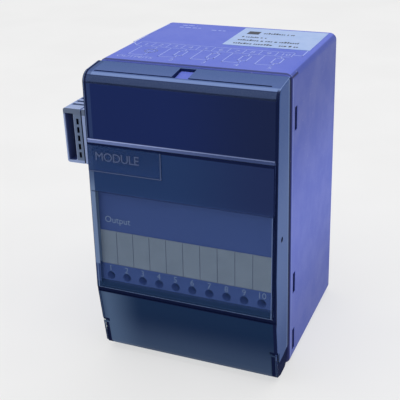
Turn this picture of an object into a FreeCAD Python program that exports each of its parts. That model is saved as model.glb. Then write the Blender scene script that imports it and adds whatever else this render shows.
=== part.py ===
"""DIN-rail controller module with a smoked terminal cover.

Frame: millimetres, +Z up, origin at the centre of the flat back face, which is
the seat on the rail. +Y points to the rail, so the front of the module is at
negative Y. Each document object labelled with a node name becomes one STEP file.
"""
import FreeCAD, Part
import os
import re
import Sketcher

DIMENSIONS = {
    # Housing
    "width": (54, "overall width, three 18 mm rail modules"),
    "height": (86, "overall height"),
    "housing_depth": (45, "rail seat to the front of the housing"),
    "front_setback": (0.5, "housing edge behind the nominal front plane"),
    "wall": (1.8, "housing wall"),
    "side_radius": (2.0, "housing edges that run front to back"),
    "rear_radius": (1.0, "housing edges round the back"),
    "front_radius": (0.7, "housing edges round the front"),
    "slot_front": (3.0, "front plane to the near side of a snap slot"),
    "slot_width": (2.1, "snap slot, front to back"),
    "boss_radius": (3.0, "corner screw boss"),
    "boss_inset_x": (4.6, "boss axis from the side"),
    "boss_inset_z": (4.6, "boss axis from the top or bottom"),
    "boss_length": (14, "corner screw boss"),
    "fit_gap": (0.15, "gap round a part that fits inside another"),
    # Rear base and rail grip
    "base_thickness": (3.0, "rear base plate with its seat"),
    "seat_height": (0.3, "raised seat for the rail"),
    "seat_half_height": (15.4, "raised seat for the rail"),
    "rail_half": (17.5, "half the height of the rail"),
    "hook_reach": (4.4, "hook behind the back face"),
    "flange_slot": (1.4, "space for the rail flange"),
    "hook_grip": (1.9, "hook over the rail flange"),
    "latch_half_width": (8.0, "rail latch"),
    "latch_thickness": (3.3, "rail latch"),
    "latch_play": (0.15, "play round the rail latch"),
    "guide_wall": (2.2, "guide beside the rail latch"),
    "guide_lip": (1.4, "guide over the rail latch"),
    "spring_radius": (1.25, "centre line of the latch spring"),
    "spring_wire": (0.25, "radius of the spring wire"),
    "spring_length": (7.9, "latch spring at rest"),
    # Boards
    "board": (1.6, "board thickness"),
    "board_half_width": (24.4, "half width of both boards"),
    "output_board_at": (6.0, "front plane to the front face of the output board"),
    "main_board_at": (24.0, "front plane to the front face of the main board"),
    "board_post_x": (17.5, "board screw from the middle"),
    "board_post_z": (34.0, "board screw from the middle"),
    "screw_shank": (1.1, "board and base screw shank radius"),
    "screw_head": (2.2, "board and base screw head radius"),
    # Terminals
    "poles": (10, "number of terminals"),
    "pitch": (5.0, "terminal pitch"),
    "block_bottom": (12.0, "terminal block above the underside"),
    "block_top": (34.0, "terminal block top above the underside"),
    "block_forward": (8.0, "terminal block in front of the front plane"),
    "block_half_width": (24.4, "terminal block"),
    "screw_level": (26.0, "terminal screw axis above the underside"),
    "well_radius": (1.75, "screw well in the terminal block"),
    "hole_radius": (1.25, "screwdriver hole in the front panel"),
    # Terminal carrier
    "carrier_half_width": (25.05, "carrier inside the housing"),
    "carrier_plate": (1.6, "carrier plate"),
    "panel_top": (52.1, "front panel above the underside"),
    "panel_bottom": (23.2, "front panel above the underside"),
    "panel_top_forward": (9.3, "front panel at its top edge"),
    "panel_bottom_forward": (10.55, "front panel at its bottom edge"),
    "panel_wall": (1.2, "front panel"),
    "side_plate": (0.65, "plate beside the terminals"),
    # Cover
    "cover_gap": (0.3, "gap between the cover and the front plane"),
    "cover_half_width": (26.9, "cover"),
    "cover_wall": (1.2, "cover"),
    "cover_corner": (3.2, "front top edge of the cover"),
    "upright_radius": (0.5, "edges between the front and the sides of the cover"),
    "window_inset": (0.7, "window pad from the side of the cover"),
    "crease_at": (7.0, "crease in the top in front of the front plane"),
    "notch_rear": (1.2, "latch notch in front of the front plane"),
    "notch_half_width": (2.25, "latch notch in the cover"),
    "hinge_forward": (3.0, "hinge axis in front of the front plane"),
    "hinge_level": (3.4, "hinge axis above the underside"),
    "barrel_radius": (1.55, "hinge barrel of the cover"),
    "pin_radius": (0.95, "hinge pin of the carrier"),
    "pin_clearance": (0.06, "radial clearance of the hinge"),
    "ear_inner": (23.95, "hinge ear of the carrier from the middle"),
    "ear_outer": (25.35, "hinge ear of the carrier from the middle"),
    "barrel_length": (3.2, "hinge barrel"),
    # Bus connector
    "bus_low": (53.8, "bus plug above the underside"),
    "bus_high": (70.3, "bus plug above the underside"),
    "bus_reach": (40.7, "bus plug from the middle"),
    "bus_front": (1.5, "bus plug behind the front plane"),
    "bus_depth": (12.0, "bus plug, front to back"),
    "bus_pitch": (2.54, "bus contact pitch"),
    "bus_first": (56.4, "lowest bus contact above the underside"),
    "bus_pin_depth": (10.2, "bus pins behind the front plane"),
    "bus_window_near": (7.5, "near side of the bus window behind the front plane"),
    "bus_window_far": (12.9, "far side of the bus window behind the front plane"),
}

# Outline of the cover in millimetres: forward of the front plane, above the underside.
COVER_OUTSIDE = {
    "rear_top": (0.6, 85.7),
    "crown": (9.3, 84.7),
    "waist": (11.6, 22.4),
    "flap_foot": (9.3, 3.0),
    "lip_front": (8.5, 1.7),
    "lip_low": (5.8, 0.8),
    "lip_rear": (2.0, 0.9),
    "heel": (0.9, 1.7),
}
COVER_WINDOW = {
    "window_top": (10.65, 66.0),
    "window_foot": (12.15, 22.8),
    "window_root_foot": (11.0, 22.0),
    "window_root_top": (9.6, 66.8),
}
COVER_INSIDE = {
    "inner_rear_top": (-2.0, 84.9),
    "inner_crown": (8.1, 83.6),
    "inner_window_foot": (10.95, 22.8),
    "inner_flap_top": (10.1, 21.6),
    "inner_flap_foot": (8.0, 3.2),
    "inner_rear_foot": (-2.0, 3.1),
}

doc = FreeCAD.newDocument("plc_module")
sheet = doc.addObject("Spreadsheet::Sheet", "Dimensions")
nodes = []
made = []


def fill_sheet():
    """Put every driving dimension in the spreadsheet under its own name."""
    rows = dict(DIMENSIONS)
    for table in (COVER_OUTSIDE, COVER_WINDOW, COVER_INSIDE):
        for corner, (reach, rise) in table.items():
            rows[corner + "_forward"] = (reach, "cover outline, in front of the front plane")
            rows[corner + "_level"] = (rise, "cover outline, above the underside")
    for number, (name, (value, note)) in enumerate(rows.items(), start=1):
        sheet.set("A%d" % number, name)
        sheet.set("B%d" % number, str(value))
        sheet.set("C%d" % number, note)
        sheet.setAlias("B%d" % number, name)
    doc.recompute()
    return rows


def formula(text):
    """A formula in which each dimension's name refers to its spreadsheet cell."""
    def cell(match):
        word = match.group(0)
        return "Dimensions." + word if word in ROWS else word
    return re.sub(r"[a-z_]+", cell, str(text))


def value_of(text):
    """The number a formula gives with the present dimensions."""
    sheet.set("E1", "=" + str(text))
    sheet.recompute()
    return float(sheet.get("E1"))


def forward(distance):
    """Y of a point this far in front of the front plane."""
    return "-(%s) - housing_depth" % distance


def behind(distance):
    """Y of a point this far behind the front plane."""
    return "(%s) - housing_depth" % distance


def level(distance):
    """Z of a point this far above the underside."""
    return "(%s) - height / 2" % distance


def make(kind, name):
    """A new document object with a name of its own."""
    item = doc.addObject(kind, name)
    made.append(item)
    return item


def bind_span(item, x_span, y_span, z_span):
    """Bind a box so that its faces lie at the given formulas."""
    spans = (("Length", "x", x_span), ("Width", "y", y_span), ("Height", "z", z_span))
    for size, axis, (low, high) in spans:
        item.setExpression(size, formula("(%s) - (%s)" % (high, low)))
        item.setExpression(".Placement.Base." + axis, formula(low))
    return item


def box(name, x_span, y_span, z_span):
    """A box given by the positions of its faces."""
    return bind_span(make("Part::Box", name), x_span, y_span, z_span)


TURNS = {
    "x": FreeCAD.Rotation(FreeCAD.Vector(0, 1, 0), 90),
    "y": FreeCAD.Rotation(FreeCAD.Vector(1, 0, 0), -90),
    "z": FreeCAD.Rotation(),
}


def bind_rod(item, axis, radius, length, start):
    """Bind a cylinder that starts at a point and runs along +X, +Y or +Z."""
    item.Placement = FreeCAD.Placement(FreeCAD.Vector(), TURNS[axis])
    item.setExpression("Radius", formula(radius))
    item.setExpression("Height", formula(length))
    for letter, place in zip("xyz", start):
        item.setExpression(".Placement.Base." + letter, formula(place))
    return item


def rod(name, axis, radius, length, start):
    """A cylinder along +X, +Y or +Z from a start point."""
    return bind_rod(make("Part::Cylinder", name), axis, radius, length, start)


def cut(name, base, tools):
    """The base with every tool taken away."""
    result = make("Part::Cut", name)
    result.Base = base
    result.Tool = tools[0] if len(tools) == 1 else fuse(name + "_tools", tools)
    return result


def fuse(name, shapes):
    """Shapes joined into one solid."""
    result = make("Part::MultiFuse", name)
    result.Shapes = shapes
    return result


def group(name, shapes):
    """Separate solids kept in one node."""
    result = make("Part::Compound", name)
    result.Links = shapes
    return result


def node(item, label):
    """Mark a finished object as one of the parts to write."""
    item.Label = label
    nodes.append(item)
    return item


def new_body(name):
    """An empty design body."""
    return make("PartDesign::Body", name)


def body_box(body, name, x_span, y_span, z_span, remove=False):
    """Add or remove a box in a design body."""
    kind = "PartDesign::SubtractiveBox" if remove else "PartDesign::AdditiveBox"
    feature = bind_span(body.newObject(kind, name), x_span, y_span, z_span)
    return settle(body, feature, remove)


def body_rod(body, name, axis, radius, length, start, remove=False):
    """Add or remove a cylinder in a design body."""
    kind = "PartDesign::SubtractiveCylinder" if remove else "PartDesign::AdditiveCylinder"
    feature = bind_rod(body.newObject(kind, name), axis, radius, length, start)
    return settle(body, feature, remove)


def settle(body, feature, remove):
    """Recompute, and stop if a removing feature took nothing away."""
    before = feature.BaseFeature.Shape.Volume if feature.BaseFeature else 0
    feature.recompute(True)
    body.Tip = feature
    if remove and feature.Shape.Volume > before - 1e-6:
        raise RuntimeError("%s removes nothing" % feature.Name)
    return feature


def side_profile(body, name, corners):
    """A closed sketch on the body's YZ plane through corners given as formulas."""
    plane = [item for item in body.Origin.OriginFeatures if item.Role == "YZ_Plane"][0]
    sketch = body.newObject("Sketcher::SketchObject", name)
    sketch.AttachmentSupport = [(plane, "")]
    sketch.MapMode = "FlatFace"
    points = [FreeCAD.Vector(value_of(y), value_of(z), 0) for y, z in corners]
    count = len(corners)
    for index in range(count):
        line = Part.LineSegment(points[index], points[(index + 1) % count])
        sketch.addGeometry(line, False)
    for index in range(count):
        joint = Sketcher.Constraint("Coincident", index, 2, (index + 1) % count, 1)
        sketch.addConstraint(joint)
    for index, (y, z) in enumerate(corners):
        for kind, place, text in (("DistanceX", points[index].x, y), ("DistanceY", points[index].y, z)):
            rule = sketch.addConstraint(Sketcher.Constraint(kind, -1, 1, index, 1, place))
            sketch.setExpression("Constraints[%d]" % rule, formula(text))
    sketch.Visibility = False
    return sketch


def body_profile(body, name, corners, half_width, remove=False):
    """Extrude a side profile equally to both sides, as material or as a cut."""
    sketch = side_profile(body, name + "_outline", corners)
    feature = body.newObject("PartDesign::Pocket" if remove else "PartDesign::Pad", name)
    feature.Profile = sketch
    feature.Midplane = True
    feature.setExpression("Length", formula("2 * (%s)" % half_width))
    return settle(body, feature, remove)


def straight_edges(shape, along, test):
    """Names of the straight edges that run along one axis and pass a test on their middle."""
    names = []
    for number, edge in enumerate(shape.Edges, start=1):
        if edge.Curve.TypeId != "Part::GeomLine":
            continue
        direction = edge.tangentAt(edge.FirstParameter)
        if abs(getattr(direction, along)) > 0.9 and test(edge.CenterOfMass):
            names.append("Edge%d" % number)
    return names


def rim_edges(shape, place):
    """Names of the edges that lie in the plane at this Y."""
    names = []
    for number, edge in enumerate(shape.Edges, start=1):
        limits = edge.BoundBox
        if abs(limits.YMin - place) < 1e-4 and abs(limits.YMax - place) < 1e-4:
            names.append("Edge%d" % number)
    return names


def round_edges(body, name, radius, edges):
    """Round the named edges of the body's tip."""
    base = body.Tip
    feature = body.newObject("PartDesign::Fillet", name)
    feature.Base = (base, edges)
    feature.setExpression("Radius", formula(radius))
    doc.recompute()
    body.Tip = feature
    return feature


def body_fillet(body, name, radius, along, test):
    """Round the straight edges of the body's tip that run along one axis and pass a test."""
    return round_edges(body, name, radius, straight_edges(body.Tip.Shape, along, test))


def side_pocket(body, name, corners, start, width, side):
    """Cut a side profile from one distance off the middle outward, on the left (-1) or right (1)."""
    sketch = side_profile(body, name + "_outline", corners)
    sketch.setExpression(".AttachmentOffset.Base.z", formula("%d * (%s)" % (side, start)))
    pocket = body.newObject("PartDesign::Pocket", name)
    pocket.Profile = sketch
    pocket.setExpression("Length", formula(width))
    pocket.Reversed = side > 0
    return settle(body, pocket, True)


def pole_positions():
    """X of each terminal."""
    return ["pitch * (%d - (poles - 1) / 2)" % index for index in range(DIMENSIONS["poles"][0])]


# ---------------------------------------------------------------- housing and rail grip
SNAP_SLOTS = ((70.3, 76.7), (22.0, 28.4), (3.2, 10.1))
BOSSES = [(sx, sz) for sx in (-1, 1) for sz in (-1, 1)]


def build_housing_shell():
    """Four-walled sleeve with snap slots, a bus window and corner bosses."""
    body = new_body("housing_shell")
    half_x, half_z = "width / 2", "height / 2"
    y_span = (behind("front_setback"), "0")
    body_box(body, "housing_block", ("-" + half_x, half_x), y_span, ("-" + half_z, half_z))
    body_fillet(body, "housing_side_edges", "side_radius", "y", lambda point: True)
    round_edges(body, "housing_rear_edges", "rear_radius", rim_edges(body.Tip.Shape, 0.0))
    front = value_of(behind("front_setback"))
    round_edges(body, "housing_front_edges", "front_radius", rim_edges(body.Tip.Shape, front))
    inner_x, inner_z = "width / 2 - wall", "height / 2 - wall"
    through = ("-housing_depth - 5", "5")
    body_box(body, "housing_cavity", ("-(%s)" % inner_x, inner_x), through,
             ("-(%s)" % inner_z, inner_z), remove=True)
    slot_y = (behind("slot_front"), behind("slot_front + slot_width"))
    for index, (low, high) in enumerate(SNAP_SLOTS):
        body_box(body, "snap_slot_%d" % index, ("-width", "width"), slot_y,
                 (level(low), level(high)), remove=True)
    window_y = (behind("bus_window_near"), behind("bus_window_far"))
    body_box(body, "bus_window", ("-width", "-width / 2 + 2 * wall"), window_y,
             (level("bus_low + 1.3"), level("bus_high - 1.4")), remove=True)
    for index, (sx, sz) in enumerate(BOSSES):
        place = ("%d * (width / 2 - boss_inset_x)" % sx, "%d * (height / 2 - boss_inset_z)" % sz)
        start = (place[0], "-base_thickness - fit_gap - boss_length", place[1])
        body_rod(body, "boss_%d" % index, "y", "boss_radius", "boss_length", start)
        body_rod(body, "boss_hole_%d" % index, "y", "screw_shank", "boss_length - 2",
                 (start[0], start[1] + " + 2", start[2]), remove=True)
    return node(body, "housing_shell")


def build_rear_base():
    """Back plate with the fixed rail hooks, the latch guides and the board posts."""
    body = new_body("rear_base")
    inner_x = "width / 2 - wall - fit_gap"
    inner_z = "height / 2 - wall - fit_gap"
    body_box(body, "base_plate", ("-(%s)" % inner_x, inner_x), ("-base_thickness", "-seat_height"),
             ("-(%s)" % inner_z, inner_z))
    body_box(body, "rail_seat", ("-(%s)" % inner_x, inner_x), ("-base_thickness", "0"),
             ("-seat_half_height", "seat_half_height"))
    for index, (sx, sz) in enumerate(BOSSES):
        x = "%d * board_post_x" % sx
        z = "%d * board_post_z" % sz
        length = "housing_depth - main_board_at - board - base_thickness"
        start = (x, "-base_thickness - (%s)" % length, z)
        body_rod(body, "board_post_%d" % index, "y", "2.6", length + " + 0.5", start)
        body_rod(body, "board_post_hole_%d" % index, "y", "screw_shank", "8", start, remove=True)
        x = "%d * (width / 2 - boss_inset_x)" % sx
        z = "%d * (height / 2 - boss_inset_z)" % sz
        body_rod(body, "base_hole_%d" % index, "y", "screw_shank + 0.15", "base_thickness + 2",
                 (x, "-base_thickness - 1", z), remove=True)
        body_rod(body, "base_sink_%d" % index, "y", "screw_head + 0.15", "3",
                 (x, "-1.6", z), remove=True)
    for side in (-1, 1):
        x_span = sorted((side * 9, side * 20))
        tag = "left" if side < 0 else "right"
        body_box(body, "hook_root_" + tag, x_span, ("-0.5", "hook_reach"),
                 ("rail_half + 0.2", "rail_half + 4.2"))
        body_box(body, "hook_lip_" + tag, x_span, ("flange_slot", "hook_reach"),
                 ("rail_half - hook_grip", "rail_half + 0.5"))
        inner = "latch_half_width + latch_play"
        spans = [(inner, inner + " + guide_wall"), (inner + " - guide_lip", inner + " + guide_wall")]
        if side < 0:
            spans = [("-(%s)" % high, "-(%s)" % low) for low, high in spans]
        top = "latch_thickness + 2 * latch_play"
        z_span = (level("2.4"), "-rail_half - 2.5")
        body_box(body, "guide_wall_" + tag, spans[0], ("-0.5", top + " + 1.2"), z_span)
        body_box(body, "guide_lip_" + tag, spans[1], (top, top + " + 1.2"), z_span)
    body_box(body, "spring_post", ("-1.8", "1.8"), ("-0.5", "latch_thickness"), ("-33.5", "-31.6"))
    return node(body, "rear_base")


def build_rail_latch():
    """Sliding latch that grips the lower edge of the rail."""
    body = new_body("rail_latch")
    x_span = ("-latch_half_width", "latch_half_width")
    near, far = "latch_play", "latch_play + latch_thickness"
    corners = (
        (near, level("0.5")),
        (far, level("0.5")),
        (far, "-rail_half + 0.6"),
        ("flange_slot + 0.9", "-rail_half + hook_grip"),
        ("flange_slot", "-rail_half + hook_grip"),
        ("flange_slot", "-rail_half - 0.3"),
        (near, "-rail_half - 0.3"),
    )
    body_profile(body, "latch_slider", corners, "latch_half_width")
    body_box(body, "spring_bay", ("-2.4", "2.4"), ("-1", "6"), ("-33.7", "-23.5"), remove=True)
    body_box(body, "driver_slot", ("-3", "3"), ("-1", "6"), (level("1.9"), level("3.6")), remove=True)
    for side in (-1, 1):
        body_box(body, "latch_shoulder_%s" % ("left" if side < 0 else "right"),
                 ("%d" % (-12 if side < 0 else 7), "%d" % (-7 if side < 0 else 12)), ("-1", "6"),
                 ("-rail_half - 1.6", "-rail_half + 6"), remove=True)
    return node(body, "rail_latch")


def build_rail_latch_spring():
    """Compression spring between the base's post and the latch."""
    helix = make("Part::Helix", "spring_path")
    helix.setExpression("Radius", formula("spring_radius"))
    helix.setExpression("Height", formula("spring_length - 2 * spring_wire - 0.1"))
    helix.setExpression("Pitch", formula("(spring_length - 2 * spring_wire - 0.1) / 6"))
    wire = make("Part::Circle", "spring_wire_section")
    wire.setExpression("Radius", formula("spring_wire"))
    wire.Placement = FreeCAD.Placement(FreeCAD.Vector(), TURNS["y"])
    wire.setExpression(".Placement.Base.x", formula("spring_radius"))
    sweep = make("Part::Sweep", "rail_latch_spring")
    doc.recompute()
    sweep.Sections = [wire]
    sweep.Spine = (helix, ["Edge1"])
    sweep.Solid = True
    sweep.Frenet = True
    sweep.setExpression(".Placement.Base.y", formula("latch_play + latch_thickness / 2"))
    sweep.setExpression(".Placement.Base.z", formula("-31.6 + spring_wire + 0.05"))
    return node(sweep, "rail_latch_spring")


def screw(name, x, z, head_y, toward, shank_length, head_height):
    """A cross-recess screw along Y whose head starts at head_y and points to +Y or -Y."""
    shank_reach = shank_length + " + 0.1"
    if toward > 0:
        head_start, top = head_y, "(%s) + (%s)" % (head_y, head_height)
        shank_start = "(%s) - (%s)" % (head_y, shank_length)
        recess_y = (top + " - 0.8", top + " + 1")
    else:
        head_start = top = "(%s) - (%s)" % (head_y, head_height)
        shank_start = "(%s) - 0.1" % head_y
        recess_y = (top + " - 1", top + " + 0.8")
    head = rod(name + "_head", "y", "screw_head", head_height, (x, head_start, z))
    shank = rod(name + "_shank", "y", "screw_shank - 0.05", shank_reach, (x, shank_start, z))
    solid = fuse(name + "_solid", [head, shank])
    across = box(name + "_recess_a", (x + " - 1.3", x + " + 1.3"), recess_y, (z + " - 0.25", z + " + 0.25"))
    upright = box(name + "_recess_b", (x + " - 0.25", x + " + 0.25"), recess_y, (z + " - 1.3", z + " + 1.3"))
    return cut(name, solid, [across, upright])


def build_base_screws():
    """Screws that hold the rear base to the housing."""
    screws = []
    for index, (sx, sz) in enumerate(BOSSES):
        x = "%d * (width / 2 - boss_inset_x)" % sx
        z = "%d * (height / 2 - boss_inset_z)" % sz
        screws.append(screw("base_screw_%d" % index, x, z, "-1.6", 1, "9", "1.4"))
    return node(group("base_screws", screws), "base_screws")


# ---------------------------------------------------------------- boards
def build_board(name, front):
    """A board with four screw holes."""
    y_span = (behind(front), behind(front + " + board"))
    blank = box(name + "_blank", ("-board_half_width", "board_half_width"), y_span,
                (level("4.6"), level("height - 4.6")))
    holes = []
    for index, (sx, sz) in enumerate(BOSSES):
        start = ("%d * board_post_x" % sx, behind(front + " - 1"), "%d * board_post_z" % sz)
        holes.append(rod("%s_hole_%d" % (name, index), "y", "screw_shank + 0.15", "board + 2", start))
    return node(cut(name, blank, holes), name)


def build_board_screws():
    """Screws that hold the main board to the base and the output board to the carrier."""
    screws = []
    main_face, output_face = behind("main_board_at"), behind("output_board_at + board")
    for index, (sx, sz) in enumerate(BOSSES):
        x, z = "%d * board_post_x" % sx, "%d * board_post_z" % sz
        screws.append(screw("main_screw_%d" % index, x, z, main_face, -1, "6", "1.6"))
        screws.append(screw("output_screw_%d" % index, x, z, output_face, 1, "5", "1.6"))
    return node(group("board_screws", screws), "board_screws")


def build_stack_connector():
    """Socket on the main board and the long pins that join the two boards."""
    low_x, rows_z = "-12.7", 30.0
    socket_y = (behind("main_board_at - 8.5"), behind("main_board_at"))
    header_y = (behind("output_board_at + board"), behind("output_board_at + board + 2.5"))
    socket = box("socket_block", (low_x, "12.7"), socket_y, ("27.4", "32.6"))
    header = box("header_block", (low_x, "12.7"), header_y, ("27.4", "32.6"))
    bore_y = (behind("output_board_at"), behind("main_board_at - 2"))
    pin_y = (behind("output_board_at + board + 0.02"), behind("main_board_at - 2.5"))
    bores = []
    pins = []
    for column in range(10):
        for row in (-1, 1):
            x, z = -11.43 + 2.54 * column, rows_z + 1.27 * row
            tag = "%d_%s" % (column, "low" if row < 0 else "high")
            bores.append(box("stack_bore_" + tag, (x - 0.38, x + 0.38), bore_y, (z - 0.38, z + 0.38)))
            pins.append(box("stack_pin_" + tag, (x - 0.32, x + 0.32), pin_y, (z - 0.32, z + 0.32)))
    blocks = group("stack_blocks", [socket, header])
    node(cut("stack_connector", blocks, bores), "stack_connector")
    node(group("stack_pins", pins), "stack_pins")


def chip(name, centre, size, leads, front, toward):
    """A flat chip with a row of gull-wing leads on two sides; it stands on a board face."""
    (x, z), (width, height, thick) = centre, size
    near, far = (front, "(%s) + %s" % (front, thick)) if toward > 0 else ("(%s) - %s" % (front, thick), front)
    shapes = [box(name + "_case", (x - width / 2, x + width / 2),
                  (near + (" + 0.1" if toward > 0 else ""), far + ("" if toward > 0 else " - 0.1")),
                  (z - height / 2, z + height / 2))]
    step = height / (leads + 1)
    for side in (-1, 1):
        for index in range(leads):
            lead_z = z - height / 2 + step * (index + 1)
            span = sorted((x + side * (width / 2 - 0.1), x + side * (width / 2 + 0.9)))
            lead_y = (front, "(%s) + 0.35" % front) if toward > 0 else ("(%s) - 0.35" % front, front)
            shapes.append(box("%s_lead_%s_%d" % (name, "a" if side < 0 else "b", index), span, lead_y,
                              (lead_z - 0.2, lead_z + 0.2)))
    return fuse(name, shapes)


def build_chips():
    """Processor, one driver for each output channel and the isolators."""
    front = behind("main_board_at")
    node(chip("microcontroller", (-9, 8), (10, 10, 1.5), 11, front, -1), "microcontroller")
    back = behind("output_board_at + board")
    drivers = []
    for index in range(5):
        drivers.append(chip("driver_%d" % index, (-20 + 10 * index, -14), (3.9, 5, 1.6), 4, back, 1))
    node(group("output_drivers", drivers), "output_drivers")
    isolators = []
    for index in range(3):
        isolators.append(chip("isolator_%d" % index, (-14 + 10.5 * index, -8), (7.5, 7, 2.4), 6, front, -1))
    node(group("isolators", isolators), "isolators")


def build_power_parts():
    """Converter module, storage capacitors and choke of the supply."""
    top = behind("main_board_at")
    node(box("dc_converter", ("2", "22"), (behind("main_board_at - 8"), top), ("2", "14")), "dc_converter")
    cans = []
    for index in range(3):
        x, z = -18 + 10 * index, -24
        can = rod("can_%d" % index, "y", "4", "11", (x, behind("main_board_at - 11"), z))
        mark = rod("can_vent_%d" % index, "y", "3.3", "1", (x, behind("main_board_at - 11.7"), z))
        cans.append(cut("capacitor_%d" % index, can, [mark]))
    node(group("electrolytic_capacitors", cans), "electrolytic_capacitors")
    outer = rod("choke_outer", "y", "5.5", "5", (14, behind("main_board_at - 5"), -24))
    inner = rod("choke_inner", "y", "2.2", "7", (14, behind("main_board_at - 6"), -24))
    node(cut("power_choke", outer, [inner]), "power_choke")
    regulator = box("regulator_case", ("13.2", "23.2"), (behind("main_board_at - 4.5"), top), ("-13", "-4"))
    tab = box("regulator_tab", ("13.2", "23.2"), (behind("main_board_at - 1.4"), top), ("-4.5", "-0.5"))
    node(fuse("voltage_regulator", [regulator, tab]), "voltage_regulator")


def build_small_components():
    """Chip resistors and capacitors in rows on both boards."""
    parts = []
    on_main = (behind("main_board_at - 0.7"), behind("main_board_at"))
    on_output = (behind("output_board_at + board"), behind("output_board_at + board + 0.7"))
    for column in range(10):
        x = -20.5 + 4.5 * column
        parts.append(box("small_main_%d" % column, (x, x + 2), on_main, (19, 20.25)))
        parts.append(box("small_low_%d" % column, (x, x + 2), on_main, (-18, -16.75)))
        parts.append(box("small_out_%d" % column, (x, x + 2), on_output, (-22, -20.75)))
    return node(group("small_components", parts), "small_components")


# ---------------------------------------------------------------- terminals
def build_terminal_block():
    """Ten-pole insulating body with screw wells and wire entries."""
    half = "block_half_width"
    body = box("block_body", ("-" + half, half), (forward("block_forward"), behind("output_board_at")),
               (level("block_bottom"), level("block_top")))
    rooms = (
        ("clamp_room", 1.8, (forward("4.4"), behind("3.4")), ("screw_level - 3.6", "screw_level + 3.6")),
        ("wire_entry", 1.7, (forward("3.6"), behind("0.2")), ("block_bottom - 1", "screw_level - 3")),
        ("tail_slot", 0.5, (behind("3"), behind("output_board_at + 1")),
         ("screw_level - 0.5", "screw_level + 0.5")),
    )
    holes = []
    for index, x in enumerate(pole_positions()):
        holes.append(rod("screw_well_%d" % index, "y", "well_radius", "block_forward + 1",
                         (x, forward("block_forward + 1"), level("screw_level"))))
        for name, reach, y_span, (low, high) in rooms:
            x_span = ("%s - %s" % (x, reach), "%s + %s" % (x, reach))
            holes.append(box("%s_%d" % (name, index), x_span, y_span, (level(low), level(high))))
    return node(cut("terminal_block", body, holes), "terminal_block")


def build_terminal_metal():
    """Screw, cage and solder tail of each terminal."""
    screws, cages, tails = [], [], []
    for index, x in enumerate(pole_positions()):
        z = level("screw_level")
        head = rod("pole_head_%d" % index, "y", "well_radius - 0.2", "1.9", (x, forward("6.6"), z))
        shank = rod("pole_shank_%d" % index, "y", "1.15", "4.9", (x, forward("4.8"), z))
        slot = box("pole_slot_%d" % index, (x + " - 2", x + " + 2"), (forward("7.6"), forward("5.8")),
                   (z + " - 0.3", z + " + 0.3"))
        screws.append(cut("pole_screw_%d" % index, fuse("pole_blank_%d" % index, [head, shank]), [slot]))
        cage = box("cage_outer_%d" % index, (x + " - 1.7", x + " + 1.7"), (forward("4.2"), behind("2.4")),
                   (z + " - 3.4", z + " + 3.4"))
        window = box("cage_window_%d" % index, (x + " - 1.3", x + " + 1.3"), (forward("3"), behind("1.6")),
                     (z + " - 5", z + " + 5"))
        bore = rod("cage_bore_%d" % index, "y", "1.2", "3", (x, forward("5"), z))
        cages.append(cut("cage_%d" % index, cage, [window, bore]))
        tails.append(box("tail_%d" % index, (x + " - 0.4", x + " + 0.4"),
                         (behind("2.4"), behind("output_board_at")), (z + " - 0.4", z + " + 0.4")))
    node(group("terminal_screws", screws), "terminal_screws")
    node(group("terminal_clamps", cages), "terminal_clamps")
    node(group("terminal_pins", tails), "terminal_pins")


def panel_forward(at_level, inset):
    """Distance of the leaning front panel from the front plane at a level, less an inset."""
    slope = "(panel_bottom_forward - panel_top_forward) / (panel_top - panel_bottom)"
    return "panel_bottom_forward - (%s - panel_bottom) * %s - (%s)" % (at_level, slope, inset)


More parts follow.
